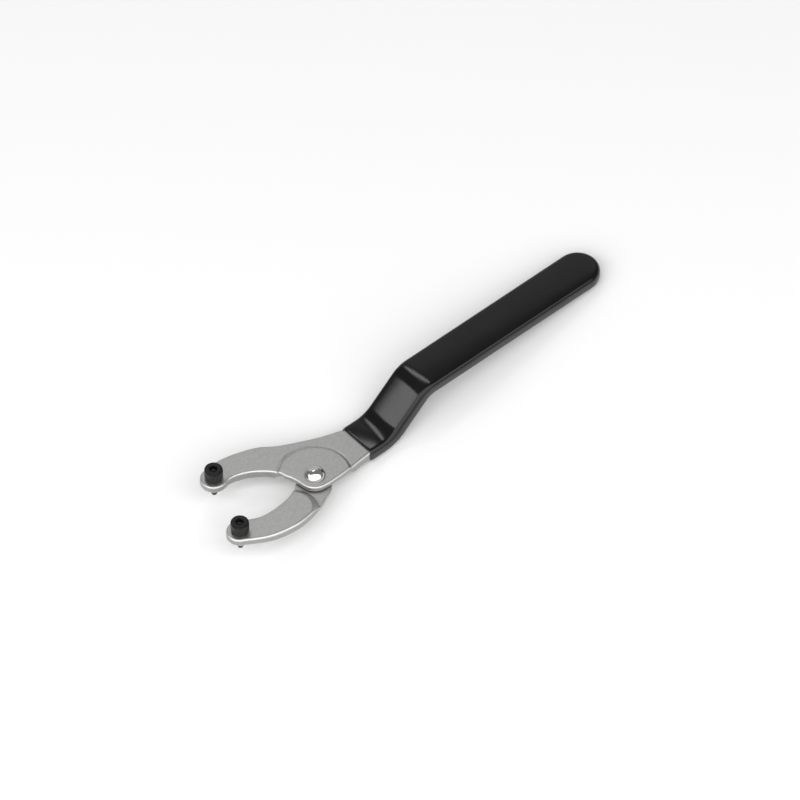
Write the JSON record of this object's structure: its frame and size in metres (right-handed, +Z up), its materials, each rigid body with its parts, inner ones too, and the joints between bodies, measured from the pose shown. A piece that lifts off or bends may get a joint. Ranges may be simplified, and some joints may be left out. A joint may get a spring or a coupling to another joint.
{
  "type": "adjustable pin spanner",
  "caption": "Adjustable face pin spanner with a turning jaw, screwed-in pins and a cranked, plastic-coated handle, for opening screwed case backs and two-hole nuts.",
  "frame": {"origin": "centre of the tool's footprint, on the surface that it lies on", "axes": "+X along the handle from the jaws to the grip's end, +Y to the fixed jaw's side, +Z up; the jaws' plane leans 7.8 degrees, because the tool lies on the grip's lower bend and the grip's end"},
  "size_m": [0.1856, 0.0438, 0.0195],
  "materials": {
    "satin_nickel": "satin nickel plate over forged steel, fine tumbled grain",
    "bright_nickel": "smooth bright nickel",
    "black_oxide": "black oxide on steel, lightly oiled",
    "spring_steel": "blued spring steel",
    "black_grip": "glossy black dipped PVC"
  },
  "bodies": {
    "lever": {"main_lever": "satin_nickel", "grip_sleeve": "black_grip", "pivot_rivet": "bright_nickel", "fixed_jaw_pin_screw": "black_oxide", "fixed_jaw_lock_washer": "spring_steel", "friction_washer": "spring_steel", "rivet_washer": "bright_nickel"},
    "jaw": {"moving_jaw": "satin_nickel", "moving_jaw_pin_screw": "black_oxide", "moving_jaw_lock_washer": "spring_steel"}
  },
  "joints": [
    {"name": "jaw_pivot", "type": "hinge", "parent": "lever", "child": "jaw", "pos_m": [-0.04951, -0.00804, 0.00697], "axis": [0.1365, 0, 0.9906], "range_deg": [-25, 45]}
  ]
}
